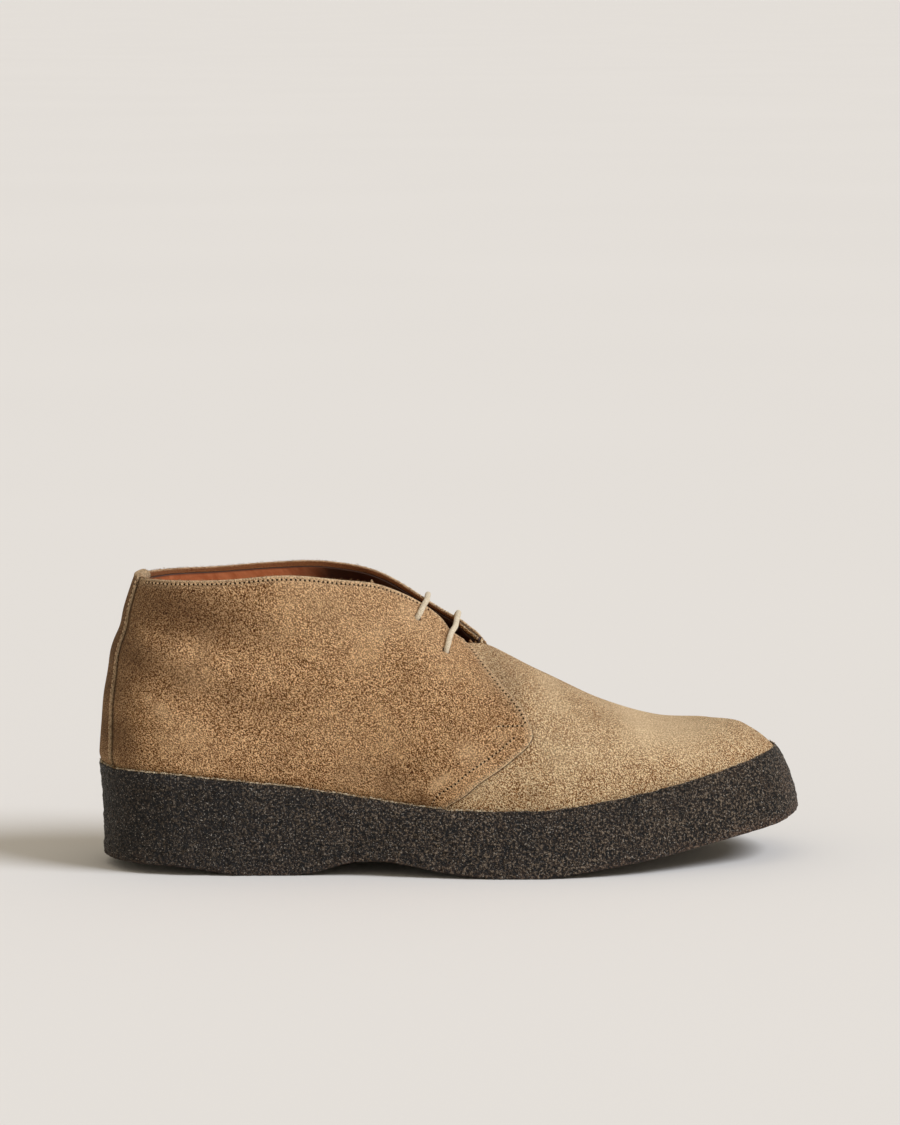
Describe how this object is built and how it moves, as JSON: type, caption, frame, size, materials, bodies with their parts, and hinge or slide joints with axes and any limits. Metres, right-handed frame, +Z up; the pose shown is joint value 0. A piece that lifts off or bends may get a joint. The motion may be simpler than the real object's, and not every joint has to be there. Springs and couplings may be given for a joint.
{
  "type": "chukka boot",
  "caption": "Right-foot suede ankle boot, a low laced chukka with a folded back strip, on a thick crepe sole with a wrapped edge and a low heel.",
  "frame": {"origin": "on the floor under the middle of the boot's box", "axes": "+X from heel to toe, +Y towards the inner side of the foot, +Z up from the floor"},
  "size_m": [0.3076, 0.1112, 0.1287],
  "materials": {
    "suede": "sand-coloured suede with a short rubbed nap",
    "lining": "smooth reddish-brown lining leather",
    "crepe": "dark brown crepe rubber with a crumpled surface",
    "lace": "thin round cream cotton lace"
  },
  "bodies": {
    "root": {"outsole": "crepe", "heel_lift": "crepe", "sole_wrap": "crepe", "insole": "lining", "upper": "suede", "back_strip": "suede", "tongue": "suede", "lace_bar_upper": "lace", "lace_bar_lower": "lace"}
  },
  "joints": []
}
